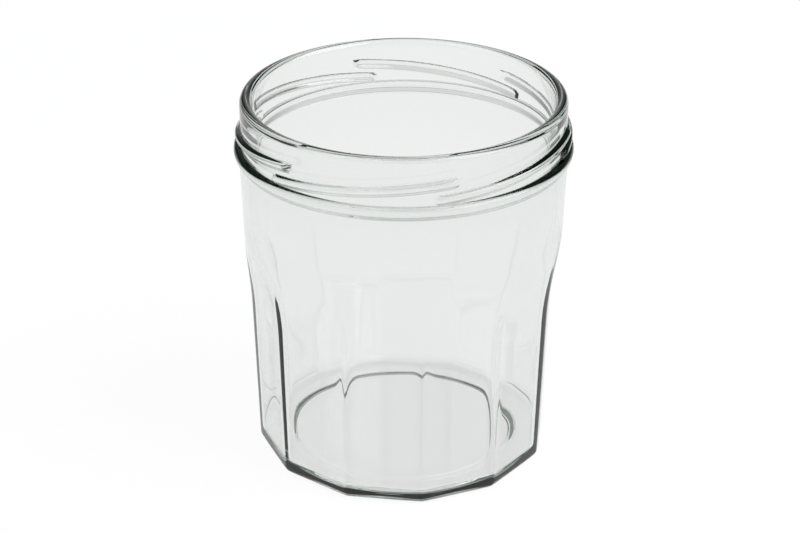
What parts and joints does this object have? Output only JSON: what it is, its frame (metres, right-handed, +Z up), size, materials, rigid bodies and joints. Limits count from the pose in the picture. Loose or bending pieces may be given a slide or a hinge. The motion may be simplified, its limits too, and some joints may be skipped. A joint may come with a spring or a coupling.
{
  "type": "glass jam jar",
  "caption": "Clear glass screw-top jam jar with an arched panelled body, a round threaded neck and an open mouth; empty, no lid.",
  "frame": {"origin": "on the table, at the centre of the jar's base", "axes": "+Z up along the jar's axis, out of the mouth; -Y is the front"},
  "size_m": [0.0842, 0.0842, 0.0955],
  "materials": {
    "clear_glass": "clear polished glass with a faint green tint in thick edges"
  },
  "bodies": {
    "root": {"jar": "clear_glass"}
  },
  "joints": []
}
